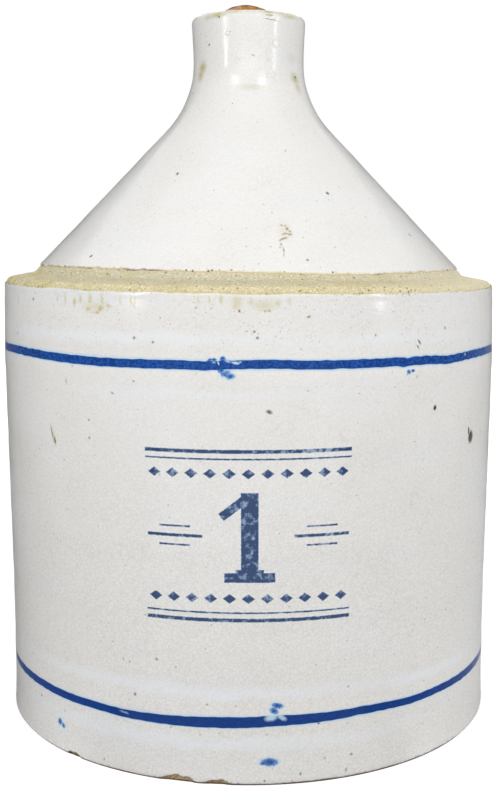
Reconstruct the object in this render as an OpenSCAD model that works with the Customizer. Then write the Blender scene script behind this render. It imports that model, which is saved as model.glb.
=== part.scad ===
// Stoneware crock jug: a straight-sided crock with a cone top and short neck stuck on,
// a strap handle behind the neck, fired-on glaze coats, two painted bands and a cork.
// It stands on z = 0 with its axis on Z, its front towards -Y and its handle at +Y.

/* [Crock] */
// Outside radius at the foot
foot_r = 90.2; // [88:0.1:92]
// Rounding of the foot's edge
foot_round = 1.1; // [0.8:0.1:2]
// Outside radius at the waist, where the wall is slimmest
waist_r = 90.05; // [88:0.05:92]
// Height of the waist
waist_h = 46; // [30:1:60]
// Outside radius at the belly, where the wall is widest
belly_r = 91.35; // [90:0.05:93]
// Height of the belly
belly_h = 131; // [110:1:138]
// Thickness of the wall with its coats
wall = 6; // [5:0.1:8]
// Thickness of the floor with its coat
floor_t = 7.5; // [6:0.1:12]
// Height of the joint where the top is stuck on
joint_h = 142; // [139:1:144]

/* [Shoulder and cone] */
// Outside radius of the shoulder's edge
shoulder_r = 90.7; // [90:0.1:92]
// Height of the shoulder's edge
shoulder_h = 160; // [158:0.5:161]
// Rounding of the shoulder's edge
shoulder_round = 3; // [1.5:0.5:4]
// Outside radius of the cone's foot, where the ledge ends
cone_r = 80.2; // [77:0.1:83]
// Height of the cone's foot
cone_h = 161.9; // [161.5:0.1:164]
// Rounding between the ledge and the cone
ledge_round = 3; // [1:0.5:4]
// Thickness of the cone with its coats
cone_t = 6.5; // [5.5:0.1:8]

/* [Neck and lip] */
// Outside radius of the neck where the cone's line would meet it
neck_r = 20.2; // [19.5:0.1:21]
// Height at which the cone's line would meet the neck
neck_h = 224.8; // [222:0.1:227]
// Radius of the sweep from the cone into the neck
neck_sweep = 36; // [25:1:40]
// Outside radius of the lip
lip_r = 20.95; // [20.5:0.05:23]
// Height of the lip
lip_h = 254.3; // [252:0.1:257]
// Rounding of the lip's outer edge
lip_round = 2; // [1.5:0.1:3]
// Radius of the bore, which holds the cork
bore_r = 10.4; // [10:0.1:11]

/* [Handle] */
// Width of the strap halfway along
strap_w = 24; // [20:1:28]
// Thickness of the strap halfway along
strap_t = 9; // [8:0.5:11]
// Height at which the strap leaves the neck
strap_top_h = 238; // [235:1:240]
// Height at which the strap's lower end is pressed on to the cone
strap_end_h = 186; // [184:1:189]
// How far from the jug's axis the middle of the strap reaches
strap_reach = 60; // [56:1:66]

/* [Glaze and bands] */
// Thickness of a glaze coat
glaze_t = 0.5; // [0.3:0.1:0.6]
// Height at which the wall's glaze starts, above the bare foot
glaze_foot_h = 1.5; // [1.5:0.1:4]
// Height at which the wall's glaze stops, under the bare ledge
ledge_bottom_h = 157.5; // [152:0.5:158]
// Height at which the cone's glaze starts, above the bare ledge
ledge_top_h = 164.4; // [164:0.1:168]
// Height of the middle of the upper band
upper_band_h = 135.9; // [110:0.1:145]
// Height of the middle of the lower band
lower_band_h = 21.4; // [10:0.1:60]
// Width of a band
band_w = 2.9; // [1:0.1:6]
// Depth of the colour in the glaze
band_depth = 0.25; // [0.1:0.05:0.25]

/* [Cork] */
// Length of the cork
cork_l = 35; // [25:1:40]
// Height of the cork above the lip
cork_above = 3.7; // [2:0.1:8]
// Gap between the cork and the bore at the lip
cork_gap = 0.2; // [0.15:0.05:0.3]
// Taper of the cork's radius from the lip to its lower end
cork_taper = 1; // [0.5:0.1:1.5]
// Slope at the worn edge of the cork's top
cork_chamfer = 2.4; // [1:0.1:3]

/* [Hidden] */
$fn = 180;
clay_colour = [0.82, 0.78, 0.67];
glaze_colour = [0.93, 0.93, 0.91];
cobalt_colour = [0.16, 0.31, 0.60];
cork_colour = [0.62, 0.40, 0.22];
// Degrees between the points of a rounded corner
arc_step = 5;
// Roundings of the long, barely curved stretches of the wall
waist_sweep = 1500;
belly_sweep = 500;
// Roundings inside: at the floor, under the shoulder, under the neck and at the mouth
floor_round = 8;
inner_shoulder_round = 12;
inner_neck_round = 15;
mouth_round = 1.6;
// Height in the bore where the lip's glaze meets the lining
bore_glaze_h = lip_h - 12;
// Height of the step that centres the top on the wall
joint_step = 4;
// Larger than any radius of the jug
beyond = 200;

// The cone's straight line, and the same line moved in by the cone's thickness
cone_way = unit([cone_r, cone_h], [neck_r, neck_h]);
cone_inner = [cone_r, cone_h] - cone_t * right_of(cone_way);
function cone_inner_h(r) = cone_inner.y + (cone_inner.x - r) * -cone_way.y / cone_way.x;

// Corners of the outside, from the middle of the base up over the lip and into the bore:
// radius, height and rounding. The base starts at start_h.
function outside(start_h) = [
    [0, start_h],
    [foot_r, start_h, foot_round],
    [waist_r, waist_h, waist_sweep],
    [belly_r, belly_h, belly_sweep],
    [shoulder_r, shoulder_h, shoulder_round],
    [cone_r, cone_h, ledge_round],
    [neck_r, neck_h, neck_sweep],
    [lip_r, lip_h, lip_round],
    [bore_r, lip_h, mouth_round],
    [bore_r, bore_glaze_h]
];

// Corners of the inside, from the middle of the floor up to where the lip's glaze starts
inside = [
    [0, floor_t],
    [foot_r - wall, floor_t, floor_round],
    [waist_r - wall, waist_h, waist_sweep],
    [belly_r - wall, belly_h, belly_sweep],
    [shoulder_r - wall, cone_inner_h(shoulder_r - wall), inner_shoulder_round],
    [bore_r, cone_inner_h(bore_r), inner_neck_round],
    [bore_r, bore_glaze_h]
];

function unit(a, b) = (b - a) / norm(b - a);
function right_of(v) = [v.y, -v.x];
function place(corner) = [corner.x, corner.y];
function turned(v, angle) = [
    v.x * cos(angle) - v.y * sin(angle),
    v.x * sin(angle) + v.y * cos(angle)
];

// Direction of the stretch of a path that starts at corner i
function way(path, i) = unit(place(path[i]), place(path[i + 1]));

// Corner i when the whole path is moved d to its right
function moved(path, i, d) =
    let (
        before = right_of(way(path, max(i - 1, 0))),
        after = right_of(way(path, min(i, len(path) - 2)))
    )
    place(path[i]) + (before + after) * d / (1 + before * after);

// Points of the arc that rounds corner i of the moved path
function rounded(path, i, d) =
    let (
        arriving = way(path, i - 1),
        leaving = way(path, i),
        angle = atan2(cross(arriving, leaving), arriving * leaving),
        radius = path[i][2] + d * sign(angle),
        start = moved(path, i, d) - radius * tan(abs(angle) / 2) * arriving,
        centre = start - radius * sign(angle) * right_of(arriving),
        steps = max(2, ceil(abs(angle) / arc_step))
    )
    [for (k = [0:steps]) centre + turned(start - centre, angle * k / steps)];

// Points of a path moved d to its right, with its corners rounded
function outline(path, d) = concat(
    [moved(path, 0, d)],
    [for (i = [1:len(path) - 2]) each rounded(path, i, d)],
    [moved(path, len(path) - 1, d)]
);

function backwards(points) = [for (i = [len(points) - 1:-1:0]) points[i]];

// Outside of the bare clay, which has no glaze under its base
clay_outside = outline(outside(-glaze_t), -glaze_t);
glazed_outside = outline(outside(0), 0);
glazed_inside = outline(inside, 0);
clay_inside = outline(inside, glaze_t);

// Space inside the glazed jug in litres, filled to the lip, from the rings of its outline
function ring_volume(a, b) = PI * (b.y - a.y) * (a.x * a.x + a.x * b.x + b.x * b.x) / 3;
function total(values, i = 0) = i < len(values) ? values[i] + total(values, i + 1) : 0;
inside_litres = total([
    for (i = [0:len(glazed_inside) - 2]) ring_volume(glazed_inside[i], glazed_inside[i + 1])
]) / 1e6 + PI * bore_r * bore_r * (lip_h - bore_glaze_h) / 1e6;
echo(inside_litres = inside_litres);

// Handle: a strap along one smooth curve behind the neck, in the YZ plane
strap_rings = 34;
strap_sides = 16;
strap_route = [
    [neck_r - 6.2, strap_top_h],
    [strap_reach * 0.74, strap_top_h + 15],
    [strap_reach * 1.27, strap_top_h + 5],
    [strap_reach * 0.80, strap_end_h]
];
// How much wider and thicker the strap is where it is pressed on
strap_end_w = 3;
strap_end_t = 3;
// Shape of the strap's section, between 1 for an ellipse and 0 for a rectangle
strap_section = 0.8;

function curve_point(p, t) =
    pow(1 - t, 3) * p[0] + 3 * pow(1 - t, 2) * t * p[1] + 3 * (1 - t) * t * t * p[2] + pow(t, 3) * p[3];
function curve_way(p, t) = unit([0, 0],
    pow(1 - t, 2) * (p[1] - p[0]) + 2 * (1 - t) * t * (p[2] - p[1]) + t * t * (p[3] - p[2]));
function soft(value) = sign(value) * pow(abs(value), strap_section);

// One ring of the strap at t, from 0 at the neck to 1 at the cone, grown by a coat
function strap_ring(t, coat) =
    let (
        middle = curve_point(strap_route, t),
        inward = right_of(curve_way(strap_route, t)),
        flare = pow(abs(2 * t - 1), 4),
        half_w = (strap_w + strap_end_w * flare) / 2 + coat,
        half_t = (strap_t + strap_end_t * flare) / 2 + coat
    )
    [for (j = [0:strap_sides - 1])
        let (
            angle = 360 * j / strap_sides,
            across = half_w * soft(cos(angle)),
            up = half_t * soft(sin(angle))
        )
        [across, middle.x - inward.x * up, middle.y - inward.y * up]];

module strap(coat) {
    points = [for (i = [0:strap_rings]) each strap_ring(i / strap_rings, coat)];
    first_cap = [for (j = [strap_sides - 1:-1:0]) j];
    last_cap = [for (j = [0:strap_sides - 1]) strap_rings * strap_sides + j];
    sides = [for (i = [0:strap_rings - 1], j = [0:strap_sides - 1])
        let (
            a = i * strap_sides + j,
            b = i * strap_sides + (j + 1) % strap_sides
        )
        each [[a, b, b + strap_sides], [a, b + strap_sides, a + strap_sides]]];
    polyhedron(points, concat([first_cap, last_cap], sides), convexity = 6);
}

// Ring zone between two heights, as a flat shape to be spun
module zone(from_h, to_h) {
    translate([0, from_h])
        square([beyond, to_h - from_h]);
}

// The clay body cut through, as a flat shape to be spun
module clay_section() {
    polygon(concat(clay_outside, backwards(clay_inside)));
}

// Everything below the joint, with the step that stands up inside the wall
module below_joint() {
    polygon([
        [0, -1],
        [beyond, -1],
        [beyond, joint_h],
        [belly_r - wall / 2, joint_h],
        [belly_r - wall / 2, joint_h + joint_step],
        [0, joint_h + joint_step]
    ]);
}

// The outside coat cut through: a skin as deep as depth under the finished surface
module skin_section(depth) {
    polygon(concat(glazed_outside, backwards(outline(outside(0), -depth))));
}

// Everything inside the bare clay's outside, to cut what is stuck on to it
module clay_block() {
    rotate_extrude()
        polygon(concat(clay_outside, [[0, bore_glaze_h]]));
}

module crock_body() {
    color(clay_colour)
        rotate_extrude()
            intersection() {
                clay_section();
                below_joint();
            }
}

module cone_top() {
    color(clay_colour)
        rotate_extrude()
            difference() {
                clay_section();
                below_joint();
            }
}

module strap_handle() {
    color(clay_colour)
        difference() {
            strap(0);
            clay_block();
        }
}

module band(middle_h) {
    color(cobalt_colour)
        rotate_extrude()
            intersection() {
                skin_section(band_depth);
                zone(middle_h - band_w / 2, middle_h + band_w / 2);
            }
}

module wall_glaze() {
    color(glaze_colour)
        rotate_extrude()
            difference() {
                intersection() {
                    skin_section(glaze_t);
                    zone(glaze_foot_h, ledge_bottom_h);
                }
                for (middle_h = [lower_band_h, upper_band_h])
                    intersection() {
                        skin_section(band_depth);
                        zone(middle_h - band_w / 2, middle_h + band_w / 2);
                    }
            }
}

module cone_glaze() {
    color(glaze_colour)
        difference() {
            rotate_extrude()
                intersection() {
                    skin_section(glaze_t);
                    zone(ledge_top_h, lip_h + 1);
                }
            strap(glaze_t);
        }
}

module handle_glaze() {
    color(glaze_colour)
        difference() {
            strap(glaze_t);
            strap(0);
            clay_block();
        }
}

module lining_glaze() {
    color(glaze_colour)
        rotate_extrude()
            polygon(concat(clay_inside, backwards(glazed_inside)));
}

module cork_stopper() {
    top_h = lip_h + cork_above;
    lip_cork_r = bore_r - cork_gap;
    color(cork_colour)
        rotate_extrude()
            polygon([
                [0, top_h - cork_l],
                [lip_cork_r - cork_taper, top_h - cork_l],
                [lip_cork_r, lip_h],
                [lip_cork_r, top_h - cork_chamfer],
                [lip_cork_r - cork_chamfer, top_h],
                [0, top_h]
            ]);
}

crock_body();
cone_top();
strap_handle();
cork_stopper();
wall_glaze();
cone_glaze();
handle_glaze();
lining_glaze();
band(upper_band_h);  // upper_band
band(lower_band_h);  // lower_band
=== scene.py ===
import math

import bpy
import numpy as np
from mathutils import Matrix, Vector, noise


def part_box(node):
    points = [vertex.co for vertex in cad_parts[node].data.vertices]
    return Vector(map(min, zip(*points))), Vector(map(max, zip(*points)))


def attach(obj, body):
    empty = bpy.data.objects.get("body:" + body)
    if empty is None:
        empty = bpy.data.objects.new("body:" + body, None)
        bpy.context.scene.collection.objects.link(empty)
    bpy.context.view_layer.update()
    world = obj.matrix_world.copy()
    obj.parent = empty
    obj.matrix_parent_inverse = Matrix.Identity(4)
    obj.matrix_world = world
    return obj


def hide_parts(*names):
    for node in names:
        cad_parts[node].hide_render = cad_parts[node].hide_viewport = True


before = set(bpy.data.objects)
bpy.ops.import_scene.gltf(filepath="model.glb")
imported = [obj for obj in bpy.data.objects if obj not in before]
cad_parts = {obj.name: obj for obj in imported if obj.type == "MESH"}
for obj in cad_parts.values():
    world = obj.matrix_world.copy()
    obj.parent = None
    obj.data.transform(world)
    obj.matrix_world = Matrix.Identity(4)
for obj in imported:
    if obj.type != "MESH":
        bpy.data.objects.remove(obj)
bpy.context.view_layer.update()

MM = 0.001


def low_mm(node):
    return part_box(node)[0].z / MM


def high_mm(node):
    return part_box(node)[1].z / MM


# Heights that the frame gives, in millimetres
FOOT_GLAZE_H = low_mm("wall_glaze")
LEDGE_LOW_H = high_mm("wall_glaze")
LEDGE_HIGH_H = low_mm("cone_glaze")
LIP_H = high_mm("cone_glaze")
JOINT_STEP_H = high_mm("crock_body")
JOINT_H = low_mm("cone_top")
CORK_TOP_H = high_mm("cork_stopper")
CORK_LOW_H = low_mm("cork_stopper")
BORE_GLAZE_H = high_mm("lining_glaze")
BANDS = {name: (low_mm(name), high_mm(name)) for name in ("lower_band", "upper_band")}

# Sizes in millimetres
GLAZE_T = 0.5
BAND_DEPTH = 0.25
WALL = 6.0
FLOOR_T = 7.5
CONE_T = 6.5
BORE_R = 10.4
CORK_R = 10.2
CORK_TAPER = 1.0
# A distance too small to see, which keeps two surfaces apart
HAIR = 0.02
FOOT_R = 90.2
NECK_TOP_R = 20.95
# Radius and height of the corners between the foot and the neck
WALL_LOW = (90.05, 46)
WALL_HIGH = (91.35, 131)
SHOULDER = (90.7, 160)
CONE_LOW = (80.2, 161.9)
CONE_HIGH = (20.2, 224.8)
# Rounding of the foot and of the wall's two wide bends
FOOT_ROUND, LOW_BEND, HIGH_BEND = 1.1, 1500, 500

# Outside corners from the middle of the base to the bore: radius, height, rounding
OUTSIDE = [
    (0, 0, 0), (FOOT_R, 0, FOOT_ROUND), (*WALL_LOW, LOW_BEND), (*WALL_HIGH, HIGH_BEND), (*SHOULDER, 3),
    (*CONE_LOW, 3), (*CONE_HIGH, 36), (NECK_TOP_R, LIP_H, 2), (BORE_R, LIP_H, 1.6),
    (BORE_R, BORE_GLAZE_H, 0),
]

# Points in each ring of a spun piece
COLUMNS = 640


class Outline:
    """A rounded path in the half plane of radius and height, looked up by its length."""

    ARC_POINTS_PER_TURN = 720

    def __init__(self, corners):
        points = [np.array(corners[0][:2], float)]
        for before, corner, after in zip(corners, corners[1:], corners[2:]):
            points += self.arc(before, corner, after)
        points.append(np.array(corners[-1][:2], float))
        self.points = np.array(points)
        steps = np.diff(self.points, axis=0)
        lengths = np.hypot(steps[:, 0], steps[:, 1])
        self.length = np.concatenate([[0], np.cumsum(lengths)])
        ways = steps / lengths[:, None]
        ways = np.concatenate([ways[:1], ways[1:] + ways[:-1], ways[-1:]])
        ways /= np.hypot(ways[:, 0], ways[:, 1])[:, None]
        self.normal = np.stack([ways[:, 1], -ways[:, 0]], axis=1)
        self.lip = int(np.argmax(self.points[:, 1]))

    def arc(self, before, corner, after):
        a, b, c = (np.array(p[:2], float) for p in (before, corner, after))
        arriving = (b - a) / np.linalg.norm(b - a)
        leaving = (c - b) / np.linalg.norm(c - b)
        turn = math.atan2(arriving[0] * leaving[1] - arriving[1] * leaving[0], arriving @ leaving)
        start = b - corner[2] * math.tan(abs(turn) / 2) * arriving
        inward = math.copysign(1, turn) * np.array([-arriving[1], arriving[0]])
        centre = start + corner[2] * inward
        steps = max(4, int(abs(turn) / math.tau * self.ARC_POINTS_PER_TURN))
        spoke = start - centre
        points = []
        for k in range(steps + 1):
            cosine, sine = math.cos(turn * k / steps), math.sin(turn * k / steps)
            points.append(centre + np.array([
                spoke[0] * cosine - spoke[1] * sine,
                spoke[0] * sine + spoke[1] * cosine,
            ]))
        return points

    def at_height(self, height):
        """Length along the path, on its way up, at which it reaches a height."""
        return float(np.interp(height, self.points[:self.lip, 1], self.length[:self.lip]))

    def surface(self, length, depth):
        """Radius and height of points that lie depth under the path."""
        radius = np.interp(length, self.length, self.points[:, 0])
        height = np.interp(length, self.length, self.points[:, 1])
        across = np.interp(length, self.length, self.normal[:, 0])
        up = np.interp(length, self.length, self.normal[:, 1])
        return radius - depth * across, height - depth * up


SKIN = Outline(OUTSIDE)
# The clay lies one coat under this path, which starts lower so that the clay's base is at 0
CLAY_SKIN = Outline([(0, -GLAZE_T, 0), (FOOT_R, -GLAZE_T, FOOT_ROUND)] + OUTSIDE[2:])

angles = np.arange(COLUMNS) * math.tau / COLUMNS - math.pi / 2


def waves(amplitude, least, most, seed):
    """A smooth uneven line round the jug, from waves that fit least to most times in a turn."""
    draw = np.random.default_rng(seed)
    total = np.zeros(COLUMNS)
    counts = draw.integers(least, most, 14)
    for count in counts:
        total += np.cos(count * angles + draw.uniform(0, math.tau)) / len(counts) ** 0.5
    return total * amplitude


def bump_at(degrees, width):
    """A smooth bump round one angle, 1 at its middle, with its half width in degrees."""
    away = (np.degrees(angles) - degrees + 180) % 360 - 180
    return np.exp(-(away / width) ** 2)


def drawn(points):
    """A line drawn round the jug through a few points of angle in degrees and shift."""
    places, shifts = zip(*points)
    return np.interp(np.degrees(angles), places, shifts, period=360)


# How far the rings lean: height, and how much lower their right side is than their middle
LEAN = [(0, 0), (8, -0.5), (22, -0.8), (75, 0), (135, 0.9), (165, 0.9), (225, 0.2), (245, 0)]
# How oval and how three-sided the jug is, and the depth and spacing of two throwing ripples
OVAL, THREE_SIDED = 0.12, 0.05
COARSE_RIPPLE, COARSE_SPACING = 0.035, 2.9
FINE_RIPPLE, FINE_SPACING = 0.03, 1.7
# Height over which the unevenness fades out towards the foot and the lip
EVEN_END_H = 12


def warp(radius, height):
    """The jug's own unevenness: leaning rings, a body that isn't quite round, faint ripples."""
    heights, leans = zip(*LEAN)
    lean = np.interp(height, heights, leans) * radius / FOOT_R
    height = height - lean * np.sin(angles)
    fade = np.clip(height / EVEN_END_H, 0, 1) * np.clip((LIP_H - height) / EVEN_END_H, 0, 1)
    oval = OVAL * (np.cos(2 * angles + 0.6) - 1) + THREE_SIDED * (np.cos(3 * angles + 2) - 1)
    coarse = COARSE_RIPPLE * (np.sin(height / COARSE_SPACING + 0.4 * np.sin(angles + 1)) - 1)
    fine = FINE_RIPPLE * (np.sin(height / FINE_SPACING + 0.5 * np.sin(2 * angles)) - 1)
    return radius + fade * (oval + coarse + fine), height


def ring(radius, height, keep=1.0):
    """Points of one ring in millimetres. keep is the share of the unevenness that it takes."""
    radius = np.broadcast_to(np.asarray(radius, float), (COLUMNS,))
    height = np.broadcast_to(np.asarray(height, float), (COLUMNS,))
    warped_r, warped_h = warp(radius, height)
    radius = radius + keep * (warped_r - radius)
    height = height + keep * (warped_h - height)
    return np.stack([radius * np.sin(angles), -radius * np.cos(angles), height], axis=1)


def placed(name, data):
    """A new object in the scene."""
    made = bpy.data.objects.new(name, data)
    bpy.context.scene.collection.objects.link(made)
    return made


# Edges that turn by more degrees than this stay sharp
SHARP_TURN = 45


def build(name, points, faces, uvs=None, attributes=None):
    """A smooth-shaded mesh object from points in millimetres."""
    mesh = bpy.data.meshes.new(name)
    mesh.vertices.add(len(points))
    mesh.vertices.foreach_set("co", (np.asarray(points, np.float32) * MM).ravel())
    sizes = np.array([len(f) for f in faces], np.int32)
    corners = np.concatenate([np.asarray(f, np.int32) for f in faces])
    mesh.loops.add(len(corners))
    mesh.loops.foreach_set("vertex_index", corners)
    mesh.polygons.add(len(faces))
    mesh.polygons.foreach_set("loop_start", np.concatenate([[0], np.cumsum(sizes)[:-1]]).astype(np.int32))
    mesh.update(calc_edges=True)
    mesh.validate()
    mesh.shade_smooth()
    mesh.set_sharp_from_angle(angle=math.radians(SHARP_TURN))
    if uvs is not None:
        layer = mesh.uv_layers.new(name="OFBake")
        layer.data.foreach_set("uv", np.asarray(uvs, np.float32).ravel())
    for key, values in (attributes or {}).items():
        attribute = mesh.attributes.new(key, "FLOAT", "POINT")
        attribute.data.foreach_set("value", np.asarray(values, np.float32).ravel())
    return placed(name, mesh)


# Strips of the texture that the front and back halves of a spun piece take
UV_MARGIN = 0.01
UV_STRIP = 0.48


def spin(name, rings, shares, poles=None, attributes=None):
    """A closed piece from rings of points. Without poles, the last ring meets the first one.
    shares gives each ring's place along the piece's texture, from 0 to 1."""
    count = len(rings)
    points = np.concatenate(rings)
    rows = count if poles is None else count - 1
    i, j = np.meshgrid(np.arange(rows), np.arange(COLUMNS), indexing="ij")
    above, beside = (i + 1) % count, (j + 1) % COLUMNS
    quads = np.stack([
        i * COLUMNS + j, i * COLUMNS + beside, above * COLUMNS + beside, above * COLUMNS + j,
    ], axis=-1).reshape(-1, 4)
    faces = list(quads)
    half = COLUMNS // 2
    strip = j // half
    left = UV_MARGIN + (1 - 2 * UV_MARGIN) * (j % half) / half
    right = UV_MARGIN + (1 - 2 * UV_MARGIN) * (j % half + 1) / half
    places = np.concatenate([np.asarray(shares, float), [1.0]])
    low = UV_MARGIN + strip * 0.5 + places[i] * UV_STRIP
    high = UV_MARGIN + strip * 0.5 + places[i + 1] * UV_STRIP
    uvs = list(np.stack([
        np.stack([left, low], -1), np.stack([right, low], -1),
        np.stack([right, high], -1), np.stack([left, high], -1),
    ], axis=2).reshape(-1, 2))
    if poles is not None:
        first, last = len(points), len(points) + 1
        points = np.concatenate([points, [poles[0]], [poles[1]]])
        top = (count - 1) * COLUMNS
        for k in range(COLUMNS):
            following = (k + 1) % COLUMNS
            faces.append([first, following, k])
            faces.append([last, top + k, top + following])
        corner = UV_MARGIN / 4
        uvs += [(corner, corner)] * (6 * COLUMNS)
        for key in attributes or {}:
            attributes[key] = np.concatenate([attributes[key], [0, 0]])
    return build(name, points, faces, uvs, attributes)


def spaced(start, stop, step):
    """Places from start to stop, both included, about step apart."""
    count = max(1, round(abs(stop - start) / step))
    return list(np.linspace(start, stop, count + 1))


def gaps(places):
    """The distance from each place to the next."""
    return [abs(b - a) for a, b in zip(places, places[1:])]


def texture_places(weights):
    """Each row's share of the texture's height, from the widths that the rows should have in it."""
    total = np.concatenate([[0], np.cumsum(weights)])
    return list(total[:-1] / total[-1])


# Places where the coat broke off the foot: angle and half width in degrees, height in millimetres
CHIPS = [
    (-41, 1.5, 1.4), (-15.2, 1.9, 2.5), (-12.6, 0.9, 1.6), (-6.6, 1.7, 1.6), (78, 2, 1.4), (151, 3, 2.2),
]

# Uneven edges, as millimetres along the surface for each column
JAGGED = 0.75 + waves(0.22, 60, 150, 11)
FOOT_CHIPS = JAGGED * sum(high * np.minimum(1, 1.7 * bump_at(turn, wide)) for turn, wide, high in CHIPS)
FOOT_EDGE = waves(0.10, 6, 60, 1) - 1.0 + FOOT_CHIPS
LEDGE_LOW_EDGE = waves(0.2, 5, 90, 2) + 0.35 + 0.2 * bump_at(-60, 25) + 0.8 * bump_at(84, 16)
LEDGE_HIGH_EDGE = waves(0.22, 5, 90, 3) - 0.3 - 1.0 * bump_at(26, 26) + 0.3 * bump_at(-48, 18)
UPPER_BAND_DRIFT = drawn([
    (-90, -0.5), (-72, -0.5), (-62, -0.15), (-52, -0.25), (-42, -0.55), (-32, -0.7), (-24, -0.55),
    (-16, -0.35), (-8, -0.4), (-2, 0.1), (4, 0.4), (12, 0), (30, 0.15), (40, 0.1), (46, -0.4), (56, 0.3),
    (68, 0.5), (80, 0.1),
])
LOWER_BAND_DRIFT = drawn([
    (-62, 0.3), (-52, 0.3), (-42, 0), (-34, 0), (-27, -0.4), (-20, -0.4), (-13, -0.3), (-7, -0.1), (0, 0),
    (5, 0.3), (18, 0.3), (24, 0.6), (30, 0.35), (37, -0.2), (46, 0), (56, -0.15), (70, 0),
])
LOWER_BAND_SWELL = -0.05 + 0.45 * bump_at(-2, 18) - 0.15 * bump_at(38, 16) - 0.12 * bump_at(-30, 8)
BAND_EDGES = {
    "lower_band": (
        waves(0.07, 8, 150, 4) + LOWER_BAND_DRIFT - LOWER_BAND_SWELL,
        waves(0.07, 8, 150, 5) + LOWER_BAND_DRIFT + LOWER_BAND_SWELL,
    ),
    "upper_band": (
        waves(0.08, 8, 150, 6) + UPPER_BAND_DRIFT + 0.04
        - 0.35 * bump_at(32.8, 0.9) + 0.2 * bump_at(-4.3, 0.8),
        waves(0.08, 8, 150, 7) + UPPER_BAND_DRIFT - 0.04
        - 0.45 * bump_at(33.9, 0.7) + 0.3 * bump_at(-4.6, 0.6),
    ),
}

# How far from an uneven edge the rows still follow it
EDGE_REACH = 2.2


class Coat:
    """A fired coat on the outside, between two places, with uneven rounded edges and grooves."""

    EDGE_STEPS = [0, 0.03, 0.1, 0.2, 0.33, 0.5, 0.75, 1.1, 1.7, 2.6]

    def __init__(self, low, high, low_edge, high_edge):
        self.features = [(low, low_edge), (high, high_edge)]

    def shift(self, place):
        """How far each point of the row at this place moves along the surface."""
        total = 0
        for at, edge in self.features:
            total = total + edge * max(0.0, 1 - abs(place - at) / EDGE_REACH)
        return total

    def row(self, place, depth=0.0):
        return ring(*SKIN.surface(place + self.shift(place), depth + dents(place)))


# Hollows and swellings of the surface: angle in degrees, height, half width, half height, depth
DENTS = [
    (21.5, 252.6, 2.6, 1, 0.75), (28.1, 243.4, 1.5, 1.6, 0.1), (-10.4, 236.9, 0.8, 0.9, -0.08),
    (-20.4, 246.3, 0.8, 0.9, 0.07), (-4.3, 133, 3.4, 3, -0.05), (37, 140.5, 1.2, 1.8, 0.06),
    (56.9, 107.1, 1.3, 2.1, 0.14), (42.1, 119.5, 0.9, 0.9, 0.12), (35.6, 66.1, 1.4, 1.4, -0.09),
    (-44.6, 110.4, 0.8, 3, 0.06),
]


def dents(place):
    """Depth of the dents at this place along the surface, for each column."""
    total = np.zeros(COLUMNS)
    for degrees, height, half_w, half_h, depth in DENTS:
        at = SKIN.at_height(height)
        radius = SKIN.surface(at, 0)[0]
        along = math.exp(-((place - at) / half_h) ** 2)
        if along > 0.001:
            total += depth * along * bump_at(degrees, math.degrees(half_w / radius))
    return total


EDGE_R = 0.5
EDGE_ROLL = 0.09


def edge_depth(distance):
    """Depth of a rounded edge at a distance from it, with the slight roll that glaze leaves."""
    roll = EDGE_ROLL * math.exp(-((distance - 2 * EDGE_R) / EDGE_R) ** 2)
    if distance >= EDGE_R:
        return -roll
    return EDGE_R * (1 - math.sqrt(1 - (1 - distance / EDGE_R) ** 2)) - roll


# Distances between the rows of points on the wall, the cone, the lip, the bands and a coat's back
WALL_STEP, CONE_STEP, LIP_STEP, BAND_STEP = 2.0, 1.9, 0.8, 0.3
WALL_BACK_STEP, CONE_BACK_STEP = 8.0, 7.0
# Distances from a band at which the wall has rows, and how far under the lip its fine rows begin
NEAR_BAND = [3.2, 2.2, 1.5, 1.0, 0.65, 0.4, 0.2]
NEAR_LIP = 5
# Share of its real width that a coat's back, and the clay's inside, has in the texture
BACK_SHARE, INSIDE_SHARE = 0.08, 0.3


def close_coat(name, coat, rows, back, fields):
    """A closed coat from its outside rows, as place and depth, and the places of its back.
    fields gives each attribute's values in the rows, and its one value on the back."""
    rings = [coat.row(p, d) for p, d in rows] + [coat.row(p, GLAZE_T) for p in back]
    widths = [abs(b[0] - a[0]) + abs(b[1] - a[1]) for a, b in zip(rows, rows[1:])]
    widths += [GLAZE_T] + [BACK_SHARE * gap for gap in gaps(back)] + [GLAZE_T]
    attributes = {
        key: np.repeat(values + [behind] * len(back), COLUMNS) for key, (values, behind) in fields.items()
    }
    return spin(name, rings, texture_places(widths), attributes=attributes)


def make_wall_coat():
    low, high = SKIN.at_height(FOOT_GLAZE_H), SKIN.at_height(LEDGE_LOW_H)
    coat = Coat(low, high, FOOT_EDGE, LEDGE_LOW_EDGE)
    band_places = []
    for name, (band_low, band_high) in BANDS.items():
        places = SKIN.at_height(band_low), SKIN.at_height(band_high)
        band_places.append(places)
        coat.features += list(zip(places, BAND_EDGES[name]))
    rows = [(low + d, edge_depth(d)) for d in Coat.EDGE_STEPS]
    for band_low, band_high in band_places:
        rows += [(p, 0) for p in spaced(rows[-1][0], band_low - NEAR_BAND[0], WALL_STEP)[1:]]
        rows += [(band_low - d, 0) for d in NEAR_BAND[1:]]
        rows += [(band_low, 0), (band_low, BAND_DEPTH), (band_high, BAND_DEPTH), (band_high, 0)]
        rows += [(band_high + d, 0) for d in reversed(NEAR_BAND)]
    rows += [(p, 0) for p in spaced(rows[-1][0], high - Coat.EDGE_STEPS[-1], WALL_STEP)[1:-1]]
    rows += [(high - d, edge_depth(d)) for d in reversed(Coat.EDGE_STEPS)]
    from_edge = [min(p - low, high - p) for p, d in rows]
    from_band = [
        min(max(a - p, p - b) for a, b in band_places) if d < BAND_DEPTH else -1 for p, d in rows
    ]
    fields = {"from_edge": (from_edge, 0), "from_band": (from_band, 99)}
    back = spaced(high, low, WALL_BACK_STEP)
    return close_coat("wall_coat", coat, rows, back, fields), coat, band_places


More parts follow.
